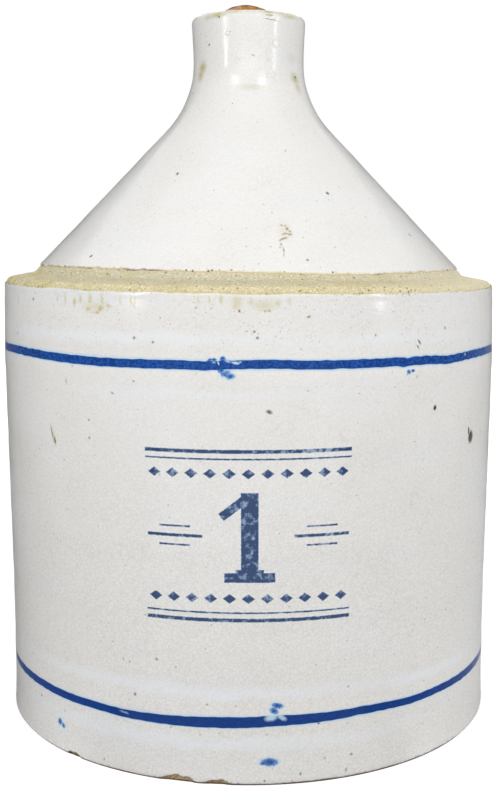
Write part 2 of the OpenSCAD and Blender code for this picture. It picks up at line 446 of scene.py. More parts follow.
def make_cone_coat():
    low, high = SKIN.at_height(LEDGE_HIGH_H), SKIN.length[-1]
    coat = Coat(low, high, LEDGE_HIGH_EDGE, np.zeros(COLUMNS))
    neck = SKIN.at_height(LIP_H - NEAR_LIP)
    rows = [(low + d, edge_depth(d)) for d in Coat.EDGE_STEPS]
    rows += [(p, 0) for p in spaced(rows[-1][0], neck, CONE_STEP)[1:]]
    rows += [(p, 0) for p in spaced(neck, high, LIP_STEP)[1:]]
    back = spaced(high, neck, LIP_STEP) + spaced(neck, low, CONE_BACK_STEP)[1:]
    fields = {"from_edge": ([p - low for p, d in rows], 0)}
    return close_coat("cone_coat", coat, rows, back, fields)


def make_band(name, coat, places):
    low, high = places
    across = spaced(low, high, BAND_STEP)
    rows = [(low, BAND_DEPTH)] + [(p, 0) for p in across] + [(high, BAND_DEPTH)]
    rings = [coat.row(p, d) for p, d in rows]
    widths = [BAND_DEPTH] + [BAND_STEP] * (len(across) - 1) + [BAND_DEPTH, high - low]
    edge = [0] + [min(p - low, high - p) for p in across] + [0]
    attributes = {"from_edge": np.repeat(edge, COLUMNS)}
    return spin(name, rings, texture_places(widths), attributes=attributes)


def inside_corners():
    """Corners of the bare clay's inside, which the lining covers: radius, height, rounding."""
    cone_way = np.array(CONE_HIGH) - np.array(CONE_LOW)
    cone_way /= np.linalg.norm(cone_way)
    inner = np.array(CONE_LOW) - CONE_T * np.array([cone_way[1], -cone_way[0]])

    def cone_height(radius):
        return inner[1] + (inner[0] - radius) * -cone_way[1] / cone_way[0]

    low_r, high_r, top_r = (corner[0] - WALL for corner in (WALL_LOW, WALL_HIGH, SHOULDER))
    return [
        (0, FLOOR_T, 0), (FOOT_R - WALL, FLOOR_T, 8), (low_r, WALL_LOW[1], LOW_BEND),
        (high_r, WALL_HIGH[1], HIGH_BEND), (top_r, cone_height(top_r), 12),
        (BORE_R, cone_height(BORE_R), 15), (BORE_R, BORE_GLAZE_H, 0),
    ]


INNER = Outline(inside_corners())
# Radius of the step on which the cone's clay sits, in the middle of the wall
JOINT_R = WALL_HIGH[0] - WALL / 2
# Distances between the clay's rows: under the base, up the wall, up the cone, inside, and where it shows
BASE_STEP, CLAY_STEP, CONE_CLAY_STEP, INSIDE_STEP = 8.0, 5.0, 4.0, 6.0
FOOT_STEP, LEDGE_STEP = 0.35, 0.4
# The smallest ring of a base, and the foot's fine rows: how far before its edge they start, their length
INNERMOST, FOOT_LEAD, FOOT_ROWS = 2.0, 1.2, 6.5
# How far the ledge's fine rows go under the coats
LEDGE_HIDDEN = 1.5
# Hollows that the chips left in the clay: depth, reach upwards, and the chip height that gives a full one
SCOOP_DEPTH, SCOOP_H, SCOOP_FULL = 0.55, 2.2, 1.5
# Grit of the bare ledge: size of the grains and their height
GRIT = [(0.9, 0.05), (2.4, 0.07)]


def inner_ring(length):
    """A ring of the clay's inside, which lies under the lining and keeps the CAD's shape."""
    return ring(*INNER.surface(length, -GLAZE_T), keep=0)


def make_crock_clay():
    foot = CLAY_SKIN.at_height(-GLAZE_T + 0.01) - FOOT_LEAD
    skin_rows = spaced(INNERMOST, foot, BASE_STEP) + spaced(foot, foot + FOOT_ROWS, FOOT_STEP)[1:]
    skin_rows += spaced(skin_rows[-1], CLAY_SKIN.at_height(JOINT_H), CLAY_STEP)[1:]
    rings = []
    for place in skin_rows:
        radius, height = CLAY_SKIN.surface(place, GLAZE_T)
        height = max(height, 0)
        scoop = SCOOP_DEPTH * np.clip(FOOT_CHIPS / SCOOP_FULL, 0, 1) * math.exp(-(height / SCOOP_H) ** 2)
        rings.append(ring(radius - scoop * (radius > FOOT_R - 2), height))
    rings += [ring(JOINT_R, JOINT_H, 0), ring(JOINT_R, JOINT_STEP_H, 0)]
    inner_rows = spaced(INNER.at_height(JOINT_STEP_H), INNERMOST, INSIDE_STEP)
    rings += [inner_ring(p) for p in inner_rows]
    widths = gaps(skin_rows) + [4, 4, 4] + [INSIDE_SHARE * gap for gap in gaps(inner_rows)] + [2]
    poles = [(0, 0, 0), (0, 0, FLOOR_T - GLAZE_T)]
    return spin("crock_clay", rings, texture_places(widths), poles=poles)


def make_cone_clay():
    low = CLAY_SKIN.at_height(LEDGE_LOW_H - LEDGE_HIDDEN)
    high = CLAY_SKIN.at_height(LEDGE_HIGH_H + LEDGE_HIDDEN)
    joint, end = CLAY_SKIN.at_height(JOINT_H), CLAY_SKIN.length[-1]
    neck = CLAY_SKIN.at_height(LIP_H - NEAR_LIP)
    skin_rows = spaced(joint, low, CLAY_STEP) + spaced(low, high, LEDGE_STEP)[1:]
    skin_rows += spaced(high, neck, CONE_CLAY_STEP)[1:] + spaced(neck, end, LIP_STEP)[1:]
    rings = [ring(JOINT_R, JOINT_H, 0)]
    for place in skin_rows:
        radius, height = CLAY_SKIN.surface(place, GLAZE_T)
        grit = np.zeros(COLUMNS)
        if low < place < high:
            for size, depth in GRIT:
                grit += depth * np.array([
                    noise.noise(Vector((radius * math.sin(a), -radius * math.cos(a), height)) / size)
                    for a in angles
                ])
        spot_r, spot_h = CLAY_SKIN.surface(place, GLAZE_T + grit)
        rings.append(ring(spot_r, spot_h))
    inner_rows = spaced(INNER.length[-1], INNER.at_height(JOINT_STEP_H), INSIDE_STEP)
    rings += [inner_ring(p) for p in inner_rows]
    rings += [ring(JOINT_R, JOINT_STEP_H, 0)]
    widths = [3] + [gap * (3 if low <= at < high else 1) for at, gap in zip(skin_rows, gaps(skin_rows))]
    widths += [1] + [INSIDE_SHARE * gap for gap in gaps(inner_rows)] + [3, 4]
    return spin("cone_clay", rings, texture_places(widths))


# Handle: the strap's route in the YZ plane and its section, in millimetres
STRAP_W, STRAP_T = 24.0, 9.0
STRAP_ROUTE = [(14, 238), (44.4, 253), (76.2, 243), (48, 186)]
STRAP_RINGS, STRAP_SIDES = 96, 56
# How full the corners of its section are, where 1 is an ellipse, and the depth of the grooves along it
STRAP_SECTION = 0.8
STRAP_GROOVE = 0.35
# Swell of the strap where it is pressed on: extra half width and half thickness, and how far they reach
SWELL_W, SWELL_T, SWELL_REACH = 4.6, 3.0, 4.0
# The thumb's hollow on its lower end: depth, half width, distance from the cone, half length
THUMB_DEPTH, THUMB_HALF_W, THUMB_AT, THUMB_HALF_L = 1.5, 6.0, 3.0, 4.5


def strap_point(t):
    a, b, c, d = (np.array(p, float) for p in STRAP_ROUTE)
    point = (1 - t) ** 3 * a + 3 * (1 - t) ** 2 * t * b + 3 * (1 - t) * t * t * c + t ** 3 * d
    way = (1 - t) ** 2 * (b - a) + 2 * (1 - t) * t * (c - b) + t * t * (d - c)
    return point, way / np.linalg.norm(way)


def strap_ring(t, coat):
    point, way = strap_point(t)
    outside = point[0] - SKIN.surface(SKIN.at_height(point[1]), 0)[0]
    swell = math.exp(-max(0.0, outside) / SWELL_REACH)
    half_w = STRAP_W / 2 + SWELL_W * swell
    half_t = STRAP_T / 2 + SWELL_T * swell
    thumb = THUMB_DEPTH * math.exp(-((outside - THUMB_AT) / THUMB_HALF_L) ** 2) if t > 0.5 else 0.0
    ring_points = []
    for j in range(STRAP_SIDES):
        angle = math.tau * j / STRAP_SIDES
        cosine, sine = math.cos(angle), math.sin(angle)
        across = (half_w + coat) * math.copysign(abs(cosine) ** STRAP_SECTION, cosine)
        up = (half_t + coat) * math.copysign(abs(sine) ** STRAP_SECTION, sine)
        ridge = STRAP_GROOVE * math.cos(3 * math.pi * across / half_w / 2) * (1 - swell) * abs(sine) ** 2
        up -= math.copysign(max(0.0, STRAP_GROOVE - ridge) * 0.8, sine) * (1 - swell)
        up -= max(0.0, sine) * thumb * math.exp(-((across / THUMB_HALF_W) ** 2))
        ring_points.append((across, point[0] - way[1] * up, point[1] + way[0] * up))
    return np.array(ring_points)


def tube(name, rings, closed):
    """A closed piece from rings: capped at its ends, or with the last ring joined to the first."""
    count, sides = len(rings), len(rings[0])
    rows = count if closed else count - 1
    faces = []
    for i in range(rows):
        for j in range(sides):
            a, b = i * sides + j, i * sides + (j + 1) % sides
            c, d = (i + 1) % count * sides + (j + 1) % sides, (i + 1) % count * sides + j
            faces.append([a, d, c, b])
    if not closed:
        faces.append(list(range(sides)))
        faces.append([(count - 1) * sides + j for j in reversed(range(sides))])
    return build(name, np.concatenate(rings), faces)


def make_strap():
    places = np.linspace(0, 1, STRAP_RINGS)
    clay = tube("strap_clay", [strap_ring(t, 0) for t in places], closed=False)
    coat_rings = [strap_ring(t, GLAZE_T) for t in places] + [strap_ring(t, HAIR) for t in reversed(places)]
    return clay, tube("strap_coat", coat_rings, closed=True)


# The cork's top is a dome that is highest at this X. How steeply it falls there and at its worn rim
CORK_DOME_X = -1.8
CORK_DOME = 0.018
CORK_RIM_FALL = 0.10
CORK_RIM_R = 7.4
CORK_TOP_RADII = [9.0, 8.5, 8.0, 7.4, 6.7, 6.0, 5.2, 4.4, 3.6, 2.8, 2.0, 1.2, 0.5]
CORK_BASE_RADII = [0.5, 3.0, 6.0]
CORK_BEVEL = 0.6
CORK_STEP = 0.8
# Crumbs of its top: size, height, and the slice of noise that they come from
CRUMBS = [(1.9, 0.16, 3.0), (0.7, 0.1, 9.0)]
# Pits of its side: size, depth, and the radius at which their noise is read
PIT_SIZE, PIT_DEPTH, PIT_R = 1.6, 0.5, 10


def cork_top(x, y):
    """Height of the cork's worn top over a point of it, in millimetres."""
    crumb = sum(high * noise.noise(Vector((x, y, at)) / size) for size, high, at in CRUMBS)
    rim = max(0.0, math.hypot(x, y) - CORK_RIM_R)
    fall = CORK_RIM_FALL * rim ** 2 + CORK_DOME * (x - CORK_DOME_X) ** 2 + 0.02 * max(0.0, y)
    return min(CORK_TOP_H - HAIR, CORK_TOP_H - fall + crumb)


def make_cork():
    low_r = CORK_R - CORK_TAPER
    rings = [ring(r, CORK_LOW_H, 0) for r in CORK_BASE_RADII + [low_r - CORK_BEVEL]]
    rings.append(ring(low_r, CORK_LOW_H + CORK_BEVEL, 0))
    for height in spaced(CORK_LOW_H + 2 * CORK_BEVEL, LIP_H - 2 * CORK_BEVEL, CORK_STEP):
        share = (height - CORK_LOW_H) / (LIP_H - CORK_LOW_H)
        around = [Vector((math.sin(a) * PIT_R, math.cos(a) * PIT_R, height)) / PIT_SIZE for a in angles]
        pits = np.array([min(0.0, PIT_DEPTH * noise.noise(point) - 0.1) for point in around])
        rings.append(ring(low_r + CORK_TAPER * share - HAIR + pits, height, 0))
    for radius in [CORK_R - 0.04, CORK_R - 0.3, CORK_R - 0.8] + CORK_TOP_RADII:
        heights = np.array([cork_top(radius * math.sin(a), -radius * math.cos(a)) for a in angles])
        rings.append(ring(radius, heights, 0))
    poles = [(0, 0, CORK_LOW_H), (0, 0, cork_top(0, 0))]
    shares = texture_places([1] * len(rings))
    return spin("cork_worn", rings, shares, poles=poles)


# Materials
def srgb(red, green, blue):
    """A colour as the photograph shows it, in linear values."""
    return tuple(
        (v / 255 / 12.92 if v / 255 <= 0.04045 else ((v / 255 + 0.055) / 1.055) ** 2.4)
        for v in (red, green, blue)
    ) + (1.0,)


# Share of a new glaze's shine that this worn one keeps, where 0.5 is all of it
SPECULAR = 0.36


class Paint:
    """A node material with short calls for the nodes that it needs. Sizes are in millimetres."""

    def __init__(self, name, roughness=0.2, specular=SPECULAR):
        self.material = bpy.data.materials.new(name)
        self.material.use_nodes = True
        self.tree = self.material.node_tree
        self.shader = self.tree.nodes["Principled BSDF"]
        self.shader.inputs["Roughness"].default_value = roughness
        self.shader.inputs["IOR"].default_value = 1.5
        self.shader.inputs["Specular IOR Level"].default_value = specular
        self.where = self.node("ShaderNodeTexCoord").outputs["Object"]
        self.colour = (1, 1, 1, 1)

    def node(self, kind, inputs=None, **settings):
        made = self.tree.nodes.new(kind)
        for key, value in settings.items():
            setattr(made, key, value)
        for key, value in (inputs or {}).items():
            self.feed(made.inputs[key], value)
        return made

    def feed(self, socket, value):
        if isinstance(value, bpy.types.NodeSocket):
            self.tree.links.new(value, socket)
        else:
            socket.default_value = value

    def parts(self, where=None):
        """The X, Y and Z of a place."""
        return self.node("ShaderNodeSeparateXYZ", {"Vector": self.where if where is None else where}).outputs

    def level(self):
        """The height over the floor in millimetres."""
        return self.math("DIVIDE", self.parts()["Z"], MM)

    def math(self, operation, a, b=0.0, c=0.0):
        made = self.node("ShaderNodeMath", operation=operation)
        for socket, value in zip(made.inputs, (a, b, c)):
            self.feed(socket, value)
        return made.outputs[0]

    def times(self, a, b):
        return self.math("MULTIPLY", a, b)

    def plus(self, a, b):
        return self.math("ADD", a, b)

    def minus(self, a, b):
        return self.math("SUBTRACT", a, b)

    def vector(self, operation, a, b=(0, 0, 0), scale=1.0, third=None):
        made = self.node("ShaderNodeVectorMath", operation=operation)
        self.feed(made.inputs[0], a)
        if third is not None:
            self.feed(made.inputs[2], third)
        if operation == "SCALE":
            self.feed(made.inputs["Scale"], scale)
        elif len(made.inputs) > 1:
            self.feed(made.inputs[1], b)
        return made

    def noise(self, size, detail=2.0, roughness=0.5, where=None, stretch=None):
        """Noise from 0 to 1 with spots about size across."""
        place = self.where if where is None else where
        if stretch is not None:
            place = self.vector("MULTIPLY", place, stretch).outputs[0]
        return self.node("ShaderNodeTexNoise", {
            "Vector": place, "Scale": 1 / (size * MM), "Detail": detail, "Roughness": roughness,
        }).outputs["Fac"]

    def cells(self, size, feature, where=None, output="Distance"):
        return self.node("ShaderNodeTexVoronoi", {
            "Vector": self.where if where is None else where, "Scale": 1 / (size * MM),
        }, feature=feature).outputs[output]

    def between(self, value, low, high, at_low=0.0, at_high=1.0):
        """value turned smoothly from at_low, at low, to at_high, at high."""
        return self.node("ShaderNodeMapRange", {
            "Value": value, "From Min": low, "From Max": high, "To Min": at_low, "To Max": at_high,
        }, interpolation_type="SMOOTHSTEP").outputs[0]

    def cloud(self, size, detail, low, high, at_low=0.0, at_high=1.0, **more):
        """Noise with spots about size across, turned from at_low, where it is low, to at_high."""
        return self.between(self.noise(size, detail, **more), low, high, at_low, at_high)

    def dots(self, size, core, rim, strength=1.0, where=None):
        """A dot in each cell about size across, at full strength up to core and gone at rim."""
        return self.between(self.cells(size, "F1", where), core, rim, strength, 0.0)

    def mix(self, factor, a, b):
        made = self.node("ShaderNodeMix", data_type="RGBA")
        self.feed(made.inputs[0], factor)
        self.feed(made.inputs[6], a)
        self.feed(made.inputs[7], b)
        return made.outputs[2]

    def attribute(self, name):
        return self.node("ShaderNodeAttribute", attribute_name=name).outputs["Fac"]

    def lay(self, factor, colour):
        """Lays a colour over the material's colour so far."""
        self.colour = self.mix(factor, self.colour, colour)

    def finish(self, height=None, roughness=None):
        """Ends the material. height is in millimetres."""
        self.feed(self.shader.inputs["Base Color"], self.colour)
        if roughness is not None:
            self.feed(self.shader.inputs["Roughness"], roughness)
        if height is not None:
            bump = self.node("ShaderNodeBump", {"Height": height, "Distance": MM, "Strength": 1.0})
            self.feed(self.shader.inputs["Normal"], bump.outputs[0])
        return self.material


def unrolled(paint, where):
    """A place as its angle in degrees and its height in millimetres."""
    parts = paint.parts(where)
    angle = paint.math("ARCTAN2", parts["X"], paint.times(parts["Y"], -1.0))
    return paint.node("ShaderNodeCombineXYZ", {
        "X": paint.math("DEGREES", angle), "Y": paint.math("DIVIDE", parts["Z"], MM),
    }).outputs[0]


def from_centre(paint, place, degrees, height, half_w, half_h, tilt=0.0):
    """Distance from one point of the outside, 1 on the ellipse with these half sizes in millimetres."""
    per_degree = math.radians(1) * SKIN.surface(SKIN.at_height(height), 0)[0]
    if tilt == 0:
        scale = (per_degree / half_w, 1 / half_h, 0)
        centre = (-degrees * scale[0], -height * scale[1], 0)
        offset = paint.vector("MULTIPLY_ADD", place, scale, third=centre).outputs[0]
    else:
        lean = math.radians(tilt)
        across = (math.cos(lean) * per_degree / half_w, math.sin(lean) / half_w, 0)
        upward = (-math.sin(lean) * per_degree / half_h, math.cos(lean) / half_h, 0)
        away = paint.vector("SUBTRACT", place, (degrees, height, 0)).outputs[0]
        x = paint.vector("DOT_PRODUCT", away, across).outputs["Value"]
        y = paint.vector("DOT_PRODUCT", away, upward).outputs["Value"]
        offset = paint.node("ShaderNodeCombineXYZ", {"X": x, "Y": y}).outputs[0]
    return paint.vector("LENGTH", offset).outputs["Value"]


WHITE = srgb(245, 244, 242)
WARM_WHITE = srgb(241, 238, 232)
# Tint of the painted reflection streaks in the white coat
PAINTED_REFLECTION_COOL = srgb(240, 242, 245)
# Colour of the painted reflection streaks on the wall
PAINTED_REFLECTION_WHITE = srgb(244, 248, 255)
MOTTLE = srgb(230, 229, 226)
NET = srgb(209, 208, 204)
CRAZE = srgb(186, 180, 168)
SPECK = srgb(104, 90, 76)
COBALT = srgb(32, 88, 174)
DEEP_COBALT = srgb(16, 57, 127)
PALE_COBALT = srgb(110, 160, 218)
HALO = srgb(196, 224, 242)
STAIN = srgb(204, 190, 116)
OLIVE = srgb(190, 180, 112)
RUST = srgb(172, 146, 104)
BROWN = srgb(84, 60, 48)
INK = srgb(20, 58, 108)
PALE_INK = srgb(116, 146, 182)
DARK = srgb(58, 50, 42)
OCHRE = srgb(152, 138, 88)
FOOT_LINE = srgb(88, 44, 40)
LIP_TAN = srgb(216, 210, 184)
LEDGE_TAN = srgb(222, 208, 164)
STREAK_BLUE = srgb(64, 112, 190)
EDGE_BLUE = srgb(96, 134, 196)
LOW_BLUE = srgb(0, 54, 130)
# Bare clay on the ledge and at the foot
BUFF = srgb(228, 221, 196)
RIM_BUFF = srgb(244, 232, 192)
YELLOW_BUFF = srgb(214, 200, 132)
GRAIN_BUFF = srgb(176, 163, 124)
PALE_BUFF = srgb(252, 246, 222)
RIGHT_BUFF = srgb(244, 237, 212)
PIT_BROWN = srgb(140, 118, 80)
ORANGE = srgb(206, 140, 84)
FOOT_CLAY = srgb(226, 206, 158)
FOOT_GRAIN = srgb(146, 116, 82)
FOOT_BOTTOM_BROWN = srgb(92, 52, 44)
# Cork
AMBER = srgb(206, 156, 78)
AMBER_GRAIN = srgb(132, 84, 40)
REDDISH = srgb(206, 146, 140)
CORK_EDGE_BLACK = srgb(40, 18, 12)
PORE_BROWN = srgb(70, 42, 26)

# Marks: angle in degrees, height, half width, half height, strength, and any tilt in degrees
IRON_SPOTS = [
    (-52.1, 154.4, 0.5, 0.35, 0.8), (-60.7, 142.2, 0.4, 0.4, 0.6), (-23, 143.7, 0.45, 0.5, 0.8),
    (-18.9, 142.6, 0.4, 0.4, 0.8), (-1.8, 152.4, 0.35, 0.35, 0.9), (11.7, 150.5, 0.5, 0.3, 0.7, 20),
    (1.1, 146.1, 0.4, 0.4, 0.8), (1.7, 144.3, 0.4, 0.4, 0.8), (-0.4, 146.2, 0.3, 0.3, 0.4),
    (3.2, 152.4, 0.3, 0.3, 0.5), (4, 152.4, 0.3, 0.3, 0.5), (-10.2, 153.3, 0.4, 0.35, 0.5),
    (45.1, 145.3, 0.3, 0.6, 0.8, 8), (25.9, 144.4, 0.35, 0.35, 0.7), (37.1, 141.5, 0.25, 0.9, 1, 36),
    (36.7, 139.9, 0.25, 0.9, 1, 36), (-23.2, 130.2, 0.4, 0.3, 0.6), (-38.5, 133.6, 0.4, 0.3, 0.5),
    (4, 121.4, 0.9, 0.55, 1, -20), (-34.2, 116.6, 0.4, 0.4, 0.6), (-34.2, 110.8, 0.4, 0.5, 0.6),
    (-28.1, 126, 0.7, 0.3, 0.6, -30), (-40.4, 128.5, 0.25, 0.9, 0.5), (-45.6, 110.9, 0.25, 2.4, 0.8, 16),
    (-44.7, 108.2, 0.4, 1, 1, 10), (-16.8, 106.8, 0.35, 0.35, 0.7), (-24.1, 27.8, 0.45, 0.45, 0.9),
    (-19.1, 40.6, 0.45, 0.4, 0.7), (-26.8, 39.1, 0.35, 0.35, 0.5), (-25.3, 38.4, 0.3, 0.3, 0.5),
    (-14.9, 38.5, 0.3, 0.3, 0.5), (-53.4, 16.2, 0.4, 0.5, 0.7), (-32, 3.1, 0.35, 0.4, 0.6),
    (-44, 15.1, 0.3, 0.3, 0.4), (21.8, 8, 0.45, 0.45, 0.7), (20.6, 3, 0.45, 0.5, 0.6),
    (21, 31, 0.35, 0.35, 0.5), (-8.4, 27, 0.3, 0.3, 0.6), (-2.6, 26.8, 0.35, 0.3, 0.4),
    (3.7, 17.3, 0.4, 0.3, 0.5), (-9.9, 16.8, 0.3, 0.3, 0.4), (-16.1, 18.5, 0.4, 0.35, 0.4),
    (14.5, 19.9, 0.4, 0.35, 0.9), (-1.6, 19.8, 0.4, 0.35, 0.9), (10.7, 3.6, 0.35, 0.45, 0.8),
    (15.9, 8.1, 0.4, 0.4, 0.4), (3.3, 1.9, 0.3, 0.4, 0.7), (75, 90, 0.6, 0.5, 0.8),
    (112, 60, 0.5, 0.9, 0.8), (-98, 122, 0.7, 0.6, 0.9), (-140, 84, 0.5, 0.5, 0.8),
    (160, 118, 0.6, 0.8, 0.9, 12), (-170, 36, 0.5, 0.5, 0.7),
]
DARK_SPOTS = [
    (42.1, 119.5, 0.75, 0.85, 1), (57.2, 106.9, 1.8, 2.1, 0.95), (56, 109.3, 0.6, 1.3, 0.9, 8),
    (56.9, 106.9, 0.9, 1.5, 0.95),
]
KILN_STAINS = [
    (-43, 155.4, 0.4, 1.4, 0.4), (-40.5, 155, 0.6, 1.6, 0.5), (-37.8, 154.2, 0.6, 1.2, 0.8),
    (-36.1, 155.2, 0.5, 1.4, 0.6), (-33.5, 155.3, 0.5, 1.7, 0.7), (-30.4, 155.2, 0.6, 1.9, 0.6),
    (-30.9, 152.6, 1.1, 0.9, 1), (-34, 152.4, 1.1, 0.7, 0.8), (-31.7, 151.3, 1.1, 0.5, 0.9),
    (-28.9, 153.4, 0.9, 0.5, 0.8), (-32.5, 153, 4.2, 1.8, 0.3), (-23.6, 155.1, 0.3, 1.3, 0.9, 5),
    (-22.9, 154.6, 0.3, 1.3, 0.9, -8), (-26, 155.2, 0.4, 1.2, 0.4), (-2.2, 155.2, 1.4, 1.7, 0.5),
    (-2.6, 154.4, 0.6, 1.1, 0.6), (2.8, 154.2, 3.6, 1.3, 0.4), (3.4, 152.6, 2, 0.6, 0.5),
    (0.4, 155, 0.5, 1.2, 0.5), (5.6, 154.6, 0.6, 1.1, 0.5), (8, 155.2, 0.5, 1, 0.4),
    (-9.7, 155.7, 0.4, 1.3, 0.5), (-7.6, 155.7, 0.4, 1.2, 0.5), (-5.3, 155.8, 0.4, 1.2, 0.5),
    (11.8, 150.6, 0.8, 0.5, 0.7, 25), (-45, 109.2, 0.8, 2.4, 0.45, 12), (-60, 154, 0.6, 1.4, 0.4),
    (118, 152, 3, 1.6, 0.6), (-120, 153, 2, 2, 0.6), (170, 152.5, 4, 1.4, 0.5),
]
# Painted reflections: faint cool streaks that stand in for the light that the wall's throwing ripples
# reflect
PAINTED_REFLECTIONS = [
    (-32, 143.6, 46, 1.7, 0.8), (30, 142.8, 34, 1.3, 0.5), (-12, 126.5, 40, 1.4, 0.45),
    (-14, 31, 52, 1.8, 0.8), (42, 29.5, 26, 1.4, 0.7), (-10, 14, 48, 2, 0.8), (150, 96, 60, 1.8, 0.6),
    (-120, 64, 50, 1.6, 0.6),
]
COBALT_SPLASHES = [
    (-7.6, 137.3, 0.8, 0.45, 1, 30), (-6.7, 137.6, 0.8, 0.4, 1), (-5.2, 137.7, 0.5, 0.6, 0.8, 30),
    (-4.9, 138, 0.65, 0.7, 1), (-5.3, 134.4, 1, 0.9, 1), (-4.3, 133.4, 1.6, 1.2, 0.75, 25),
    (-3.6, 132.5, 1.5, 1, 0.85), (-5, 133.2, 0.8, 1.1, 0.75), (-3.4, 132.3, 0.6, 0.5, 1),
    (32.7, 134.3, 0.9, 0.45, 1), (34.2, 132.1, 0.9, 0.8, 0.8, -25), (35.3, 132.4, 0.7, 0.5, 0.95),
    (33.8, 131.4, 0.5, 0.5, 0.6), (5.9, 26.8, 1.7, 0.85, 1, -10), (5.2, 25.1, 1.4, 0.95, 0.95, -25),
    (4.3, 8.1, 2.5, 1.2, 1, -4), (3, 7.8, 1.2, 0.6, 0.9, 10), (-45.7, 10.5, 1.1, 1.1, 0.9, -40),
    (-44.5, 9.7, 1, 0.8, 0.85, -40), (-45, 10.2, 1.2, 0.6, 0.5, 40), (132, 131.5, 1.2, 0.7, 0.9),
    (-155, 24.6, 0.9, 0.6, 0.8),
]
# Bare or pale places in the bands
BAND_GAPS = [
    (-6.7, 136.7, 0.55, 0.35, 0.55), (-5.85, 136.6, 0.25, 0.8, 0.9, 15), (-4, 137.1, 0.9, 0.3, 0.75, -15),
    (-2.5, 136.6, 1.2, 0.42, 1, -8), (-1.6, 136.9, 0.5, 0.3, 0.6), (33.9, 137.1, 0.6, 0.35, 0.9),
    (53.1, 135.9, 0.3, 0.55, 0.9), (4.6, 22.9, 1.9, 1, 0.95, 12), (6.8, 22.8, 1.5, 0.7, 0.85, -30),
    (-26.8, 21, 1.6, 0.35, 0.45, -8), (131, 136.9, 0.7, 0.5, 0.8), (-155.5, 22.4, 0.8, 0.5, 0.8),
]
NECK_STAINS = [
    (-53.5, 235.2, 1.8, 1.9, 0.8), (-55.5, 232.8, 1.5, 1.8, 0.75, 10), (52.9, 231.4, 1.9, 1.7, 0.7),
    (54.5, 228.4, 1.4, 1.9, 0.5), (50.5, 238.5, 1.6, 1.6, 0.18), (2.2, 227.4, 3.4, 0.9, 0.3),
    (10.3, 176.8, 2, 2.6, 0.2), (-32.6, 252.9, 2.3, 0.8, 0.9), (-43, 252.6, 2, 0.8, 0.5),
    (45, 252.9, 3.6, 0.8, 0.6), (150, 231, 1.6, 2.2, 0.5), (-118, 240, 1.2, 1.6, 0.4),
    (-170, 204, 3, 2, 0.3),
]
NECK_SPECKS = [
    (-43, 242.9, 0.3, 0.45, 0.9), (4.4, 238.6, 0.6, 0.18, 0.6, -35), (53.8, 232.1, 0.4, 0.3, 0.9),
    (-29.5, 252, 0.25, 0.4, 0.8), (-45.1, 168.5, 0.5, 0.4, 1), (14.6, 167.5, 0.45, 0.3, 0.7),
    (57.6, 175.6, 0.5, 0.4, 0.6), (23, 250.9, 2.4, 0.16, 0.75, -6), (20, 253.6, 1.6, 0.14, 0.7),
    (-63, 226.6, 0.3, 0.3, 0.6), (-30.7, 196.2, 0.5, 0.45, 0.9), (29.9, 189.4, 0.55, 0.5, 0.9),
    (18.6, 204.2, 0.3, 0.25, 0.6), (100, 196, 0.6, 0.5, 0.8), (-110, 186, 0.5, 0.5, 0.8),
]
# Rings that burst bubbles left in the neck's coat: angle in degrees, height, radius
BUBBLE_RINGS = [(28.1, 243.4, 1.5), (-20.4, 246.3, 0.8), (-10.4, 236.9, 0.8), (24.0, 232.4, 0.9)]
CONE_CRACK = [
    (9.6, 178.6, 0.45, 0.3, 0.8, -30), (10.6, 178.4, 0.45, 0.25, 0.7, 20), (11, 177.4, 0.5, 0.5, 1),
    (11.7, 176.6, 0.5, 0.3, 0.8, -35), (10.2, 175.8, 1.1, 0.25, 0.8, 8), (11.4, 175.7, 0.9, 0.3, 0.9, -12),
    (9.4, 174.2, 1.4, 0.3, 0.9, 20), (8.6, 173.8, 0.5, 0.3, 0.8, 25), (8.6, 172.5, 0.35, 0.5, 0.7),
    (8.2, 171.5, 0.3, 0.3, 0.6), (9, 170.6, 0.25, 0.8, 0.9), (8.9, 169.3, 0.2, 0.7, 0.8),
]


def jitter(paint, size, reach):
    """The surface's place, shaken by noise, so that what is painted there has uneven edges."""
    shake = paint.node("ShaderNodeTexNoise", {
        "Vector": paint.where, "Scale": 1 / (size * MM), "Detail": 2.0,
    }).outputs["Color"]
    centred = paint.vector("SUBTRACT", shake, (0.5, 0.5, 0.5)).outputs[0]
    offset = paint.vector("SCALE", centred, scale=reach * MM).outputs[0]
    return paint.vector("ADD", paint.where, offset).outputs[0]


def marks(paint, where, spots, soft=0.45):
    """One mask for a list of marks. Each is joined to the last at once, as Cycles holds few values
    at a time. soft is how gradual their edges are."""
    place = unrolled(paint, where)
    total = 0.0
    for degrees, height, half_w, half_h, strength, *tilt in spots:
        away = from_centre(paint, place, degrees, height, half_w, half_h, *tilt)
        mask = paint.node("ShaderNodeMapRange", {
            "Value": away, "From Min": 1 - soft, "From Max": 1 + soft, "To Min": strength, "To Max": 0.0,
        })
        total = paint.math("MAXIMUM", total, mask.outputs[0])
    return total


